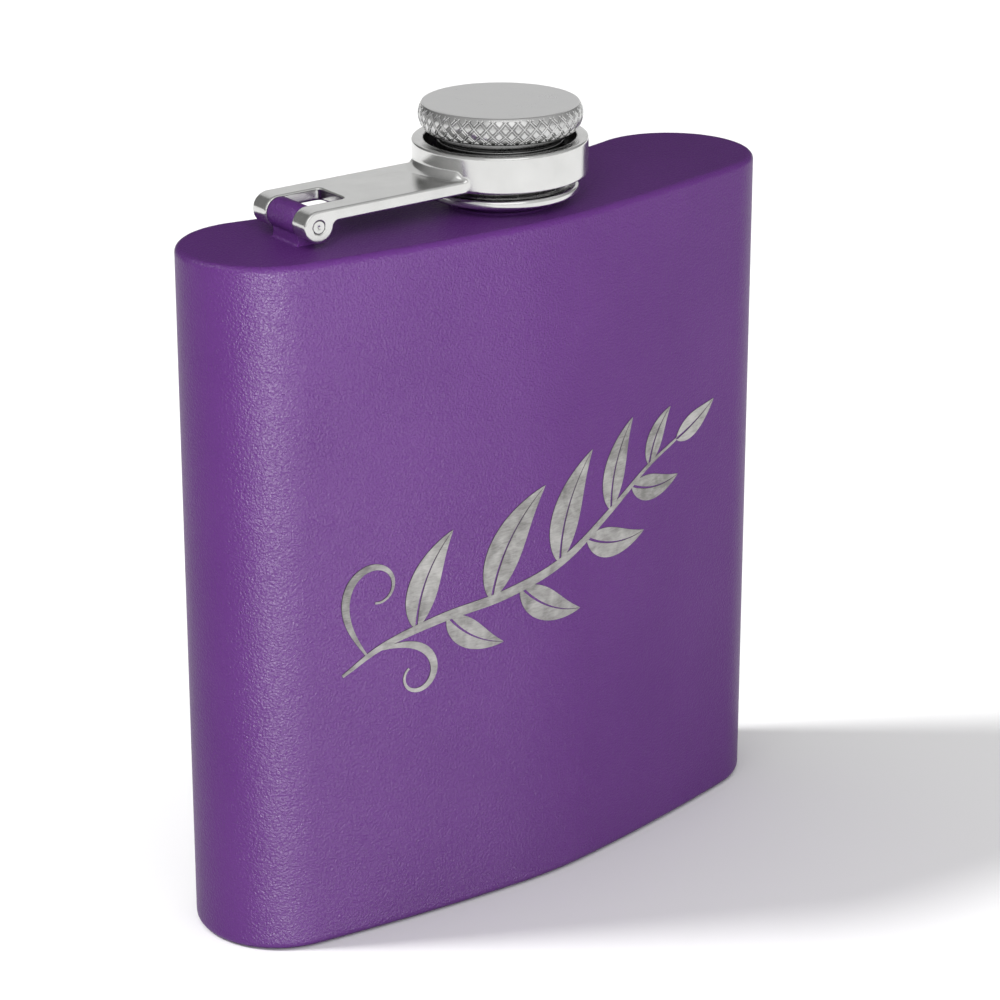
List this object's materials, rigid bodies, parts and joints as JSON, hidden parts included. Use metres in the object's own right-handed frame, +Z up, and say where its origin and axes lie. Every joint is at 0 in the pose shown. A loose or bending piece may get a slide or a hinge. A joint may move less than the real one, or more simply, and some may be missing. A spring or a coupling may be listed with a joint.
{
  "type": "hip flask",
  "caption": "Slim kidney-shaped pocket flask with a flat base, powder-coated body and a knurled screw cap held captive on a swinging arm.",
  "frame": {"origin": "centre of the base outline, on the surface the flask stands on", "axes": "+Z up along the body, front (convex) face towards -Y, hinge end of the cap arm towards -X"},
  "size_m": [0.095, 0.0278, 0.1094],
  "materials": {
    "purple_coat": "satin powder coat with a fine wrinkle texture",
    "polished_steel": "polished stainless steel",
    "satin_steel": "satin stainless steel",
    "bare_steel": "bare brushed stainless steel",
    "silicone": "food-grade translucent silicone"
  },
  "bodies": {
    "flask": {"body_wall": "purple_coat", "bottom_plate": "purple_coat", "top_plate": "purple_coat", "neck": "bare_steel", "hinge_lug": "purple_coat"},
    "arm": {"arm": "polished_steel", "hinge_pin": "polished_steel"},
    "seal": {"cap_seal": "silicone"},
    "cap": {"cap_knob": "satin_steel", "cap_skirt": "polished_steel", "retaining_flange": "polished_steel"}
  },
  "joints": [
    {"name": "arm_swing", "type": "hinge", "parent": "flask", "child": "arm", "pos_m": [-0.03245, 0.00092, 0.0986], "axis": [-0.0941, -0.9956, 0], "range_deg": [0, 182]},
    {"name": "cap_lift", "type": "slide", "parent": "arm", "child": "seal", "axis": [0, 0, 1], "range_m": [0, 0.00105]},
    {"name": "cap_spin", "type": "hinge", "parent": "seal", "child": "cap", "pos_m": [0, -0.00215, 0.1075], "axis": [0, 0, 1], "range_deg": [0, 250]}
  ],
  "couplings": [
    {"joint": "cap_lift", "follows": "cap_spin", "m_per_rad": 0.00023873}
  ]
}
